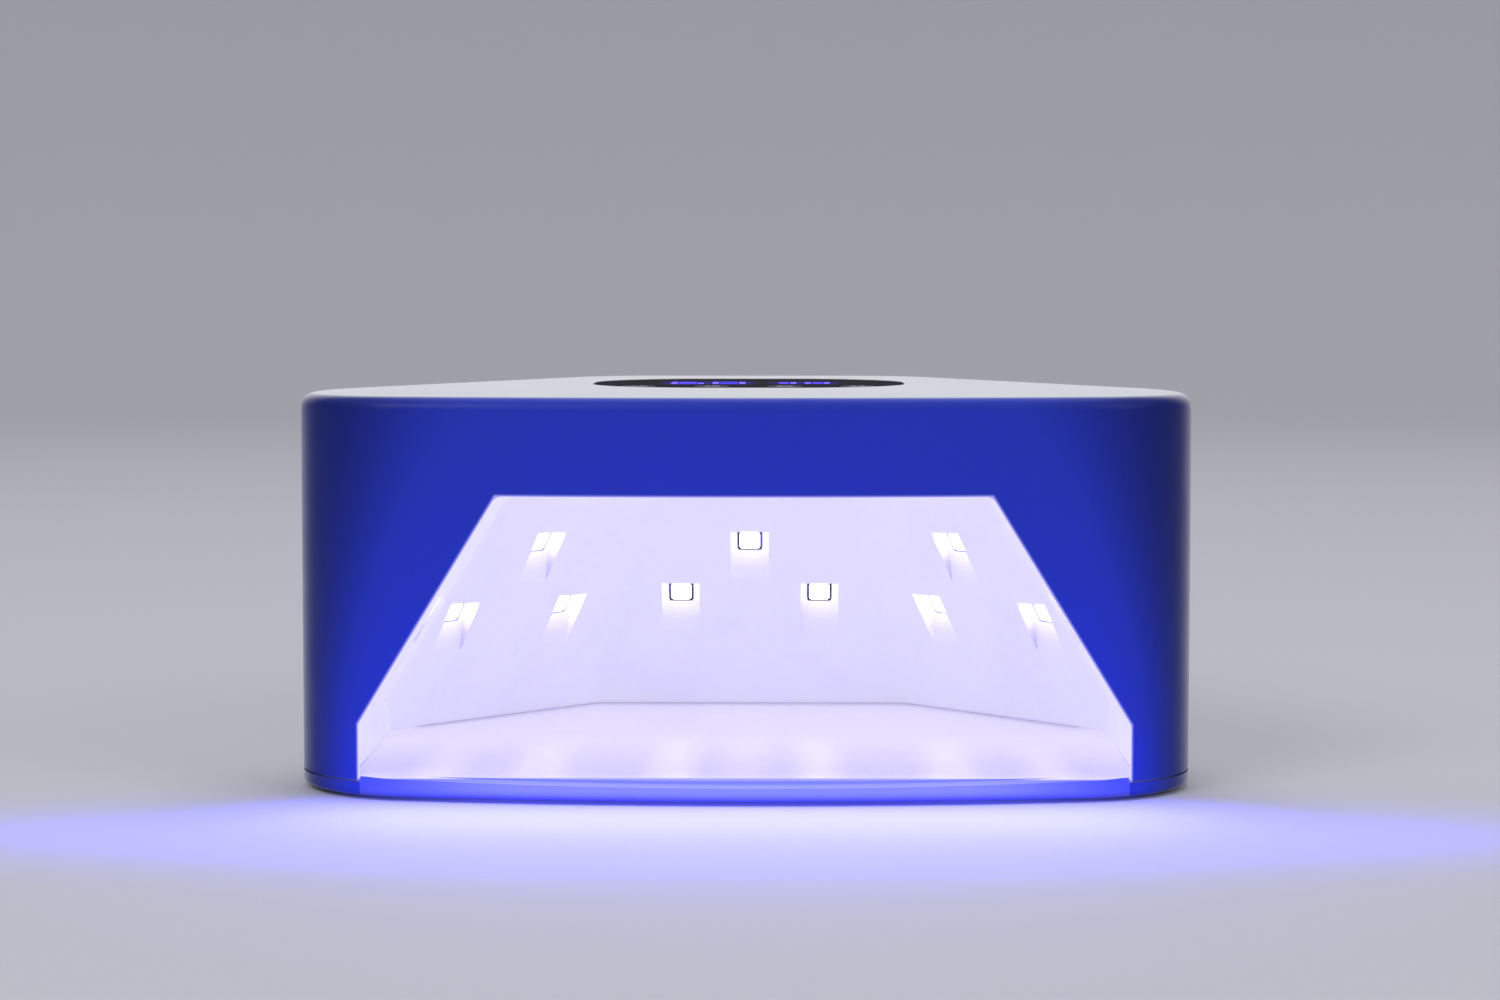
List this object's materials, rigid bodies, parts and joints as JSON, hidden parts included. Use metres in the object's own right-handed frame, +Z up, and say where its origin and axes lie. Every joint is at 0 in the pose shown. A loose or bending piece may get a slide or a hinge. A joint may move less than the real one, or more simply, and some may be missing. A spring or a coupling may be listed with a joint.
{
  "type": "led nail lamp",
  "caption": "Tabletop LED nail lamp: bowed white housing over a lit hand chamber with angled LED walls, a glossy top panel with buttons and a timer display, and a lift-off base plate.",
  "frame": {"origin": "on the table, below the middle of the outline", "axes": "+X to the right seen from the hand opening, +Y to the back, +Z up"},
  "size_m": [0.192, 0.156, 0.085],
  "materials": {
    "shell_white": "satin moulded plastic",
    "liner_white": "smooth reflective plastic",
    "base_white": "glossy moulded plastic",
    "foot_rubber": "soft rubber",
    "disc_steel": "plain",
    "magnet_nickel": "nickel plated",
    "screw_steel": "zinc plated",
    "board_green": "solder mask",
    "led_board_white": "white solder mask on aluminium",
    "led_light": "lit",
    "segment_light": "lit",
    "panel_black": "high gloss",
    "button_black": "gloss",
    "switch_black": "moulded",
    "chip_black": "moulded",
    "module_black": "moulded",
    "capacitor_aluminium": "satin can",
    "jack_black": "moulded",
    "pin_nickel": "nickel plated",
    "socket_white": "moulded",
    "ribbon_grey": "flat cable",
    "sensor_dark": "dark clear resin"
  },
  "bodies": {
    "base": {"base_plate": "base_white", "rubber_feet": "foot_rubber", "steel_discs": "disc_steel"},
    "housing": {"back_led_board": "led_board_white", "back_leds": "led_light", "buzzer": "module_black", "capacitors": "capacitor_aluminium", "ceiling_led_board": "led_board_white", "ceiling_leds": "led_light", "chamber_liner": "liner_white", "control_board": "board_green", "control_board_screws": "screw_steel", "control_chip": "chip_black", "control_panel": "panel_black", "dc_centre_pin": "pin_nickel", "dc_jack": "jack_black", "display_module": "module_black", "display_segments": "segment_light", "driver_chips": "chip_black", "hand_sensor": "sensor_dark", "housing_magnets": "magnet_nickel", "housing_screws": "screw_steel", "led_board_screws": "screw_steel", "left_led_board": "led_board_white", "left_leds": "led_light", "left_side_led_board": "led_board_white", "left_side_leds": "led_light", "outer_shell": "shell_white", "power_board": "board_green", "power_board_screws": "screw_steel", "power_inductor": "chip_black", "ribbon_cable": "ribbon_grey", "ribbon_sockets": "socket_white", "right_led_board": "led_board_white", "right_leds": "led_light", "right_side_led_board": "led_board_white", "right_side_leds": "led_light", "tact_switches": "switch_black"},
    "button_10": {"timer_button_10": "button_black", "switch_plunger_10": "switch_black"},
    "button_30": {"timer_button_30": "button_black", "switch_plunger_30": "switch_black"},
    "button_60": {"timer_button_60": "button_black", "switch_plunger_60": "switch_black"},
    "button_99": {"timer_button_99": "button_black", "switch_plunger_99": "switch_black"}
  },
  "joints": [
    {"name": "housing_lift", "type": "slide", "parent": "base", "child": "housing", "axis": [0, 0, 1], "range_m": [0, 0.06]},
    {"name": "press_10", "type": "slide", "parent": "housing", "child": "button_10", "axis": [0, 0, -1], "range_m": [0, 0.0005], "stiffness_N_per_m": 1000, "springref_m": -0.001},
    {"name": "press_30", "type": "slide", "parent": "housing", "child": "button_30", "axis": [0, 0, -1], "range_m": [0, 0.0005], "stiffness_N_per_m": 1000, "springref_m": -0.001},
    {"name": "press_60", "type": "slide", "parent": "housing", "child": "button_60", "axis": [0, 0, -1], "range_m": [0, 0.0005], "stiffness_N_per_m": 1000, "springref_m": -0.001},
    {"name": "press_99", "type": "slide", "parent": "housing", "child": "button_99", "axis": [0, 0, -1], "range_m": [0, 0.0005], "stiffness_N_per_m": 1000, "springref_m": -0.001}
  ]
}
